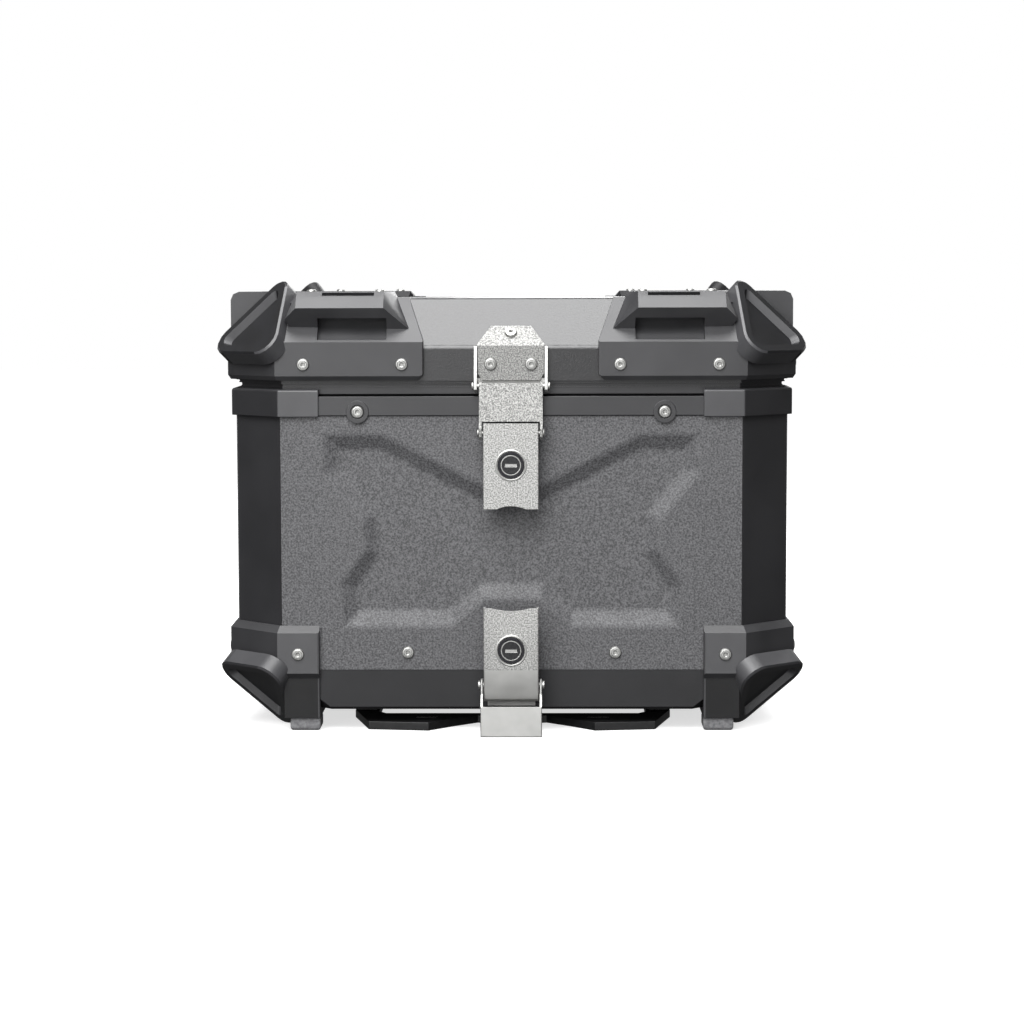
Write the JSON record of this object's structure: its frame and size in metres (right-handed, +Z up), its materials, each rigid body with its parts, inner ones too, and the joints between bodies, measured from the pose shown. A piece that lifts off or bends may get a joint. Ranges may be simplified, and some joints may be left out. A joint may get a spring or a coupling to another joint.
{
  "type": "motorcycle top case",
  "caption": "Aluminium-panelled motorcycle top case with moulded corner guards, rear-hinged lid, lid draw latch and a lower quick-release latch on a carrier plate.",
  "frame": {"origin": "centre of the case in plan, on the plane that the four rubber feet stand on", "axes": "+Z up, -Y towards the latches, +X to the right when facing the latches"},
  "size_m": [0.4216, 0.3584, 0.3209],
  "materials": {
    "powder_coat": "textured charcoal powder coat",
    "black_nylon": "moulded, fine spark texture",
    "guard_nylon": "moulded, satin",
    "rubber": "matte",
    "steel": "bead blasted",
    "pin_steel": "turned",
    "lock_zinc": "satin plated zinc",
    "plate_black": "satin black"
  },
  "bodies": {
    "case": {"front_panel": "powder_coat", "rear_panel": "powder_coat", "left_panel": "powder_coat", "right_panel": "powder_coat", "base_tray": "black_nylon", "top_rail": "black_nylon", "corner_post_front_left": "black_nylon", "corner_post_front_right": "black_nylon", "corner_post_rear_left": "black_nylon", "corner_post_rear_right": "black_nylon", "rim_cap_front_left": "guard_nylon", "rim_cap_front_right": "guard_nylon", "rim_cap_rear_left": "guard_nylon", "rim_cap_rear_right": "guard_nylon", "lower_guard_front_left": "guard_nylon", "lower_guard_front_right": "guard_nylon", "lower_guard_rear_left": "guard_nylon", "lower_guard_rear_right": "guard_nylon", "floor_mat": "rubber", "foot_front_left": "rubber", "foot_front_right": "rubber", "foot_rear_left": "rubber", "foot_rear_right": "rubber", "hinge_base_left": "steel", "hinge_base_right": "steel", "upper_keeper": "steel", "lower_bracket": "steel", "lower_keeper": "steel", "rear_hook_left": "steel", "rear_hook_right": "steel", "fulcrum_pin": "pin_steel", "carrier_plate": "plate_black"},
    "lid": {"lid_skin": "powder_coat", "lid_rim": "black_nylon", "lid_seal": "rubber", "upper_guard_front_left": "guard_nylon", "upper_guard_front_right": "guard_nylon", "upper_guard_rear_left": "guard_nylon", "upper_guard_rear_right": "guard_nylon", "hinge_leaf_left": "steel", "hinge_leaf_right": "steel", "hinge_pin_left": "pin_steel", "hinge_pin_right": "pin_steel", "latch_hood": "steel", "latch_bracket": "steel", "link_pin_left": "pin_steel", "link_pin_right": "pin_steel"},
    "link": {"latch_link": "steel", "lever_pin": "pin_steel"},
    "lever": {"latch_lever": "steel", "upper_lock_sleeve": "lock_zinc"},
    "upper_barrel": {"upper_lock_barrel": "lock_zinc", "upper_lock_cam": "lock_zinc"},
    "lower_lever": {"lower_lever": "steel", "lower_lock_sleeve": "lock_zinc"},
    "lower_barrel": {"lower_lock_barrel": "lock_zinc", "lower_lock_cam": "lock_zinc"},
    "jaw": {"lower_jaw": "steel"}
  },
  "joints": [
    {"name": "lid_hinge", "type": "hinge", "parent": "case", "child": "lid", "pos_m": [0, 0.165, 0.245], "axis": [-1, 0, 0], "range_deg": [0, 90]},
    {"name": "link_swing", "type": "hinge", "parent": "lid", "child": "link", "pos_m": [0, -0.163, 0.2469], "axis": [-1, 0, 0], "range_deg": [0, 100]},
    {"name": "lever_swing", "type": "hinge", "parent": "link", "child": "lever", "pos_m": [0, -0.1692, 0.214], "axis": [-1, 0, 0], "range_deg": [0, 70]},
    {"name": "upper_lock_turn", "type": "hinge", "parent": "lever", "child": "upper_barrel", "pos_m": [0, -0.173, 0.1915], "axis": [0, 1, 0], "range_deg": [0, 90]},
    {"name": "lower_lever_swing", "type": "hinge", "parent": "case", "child": "lower_lever", "pos_m": [0, -0.169, 0.03], "axis": [1, 0, 0], "range_deg": [0, 80]},
    {"name": "lower_lock_turn", "type": "hinge", "parent": "lower_lever", "child": "lower_barrel", "pos_m": [0, -0.181, 0.061], "axis": [0, -1, 0], "range_deg": [0, 90]},
    {"name": "jaw_swing", "type": "hinge", "parent": "lower_lever", "child": "jaw", "pos_m": [0, -0.173, 0.0355], "axis": [-1, 0, 0], "range_deg": [0, 100]}
  ],
  "couplings": [
    {"joint": "jaw_swing", "follows": "lower_lever_swing", "ratio": 1.25}
  ]
}
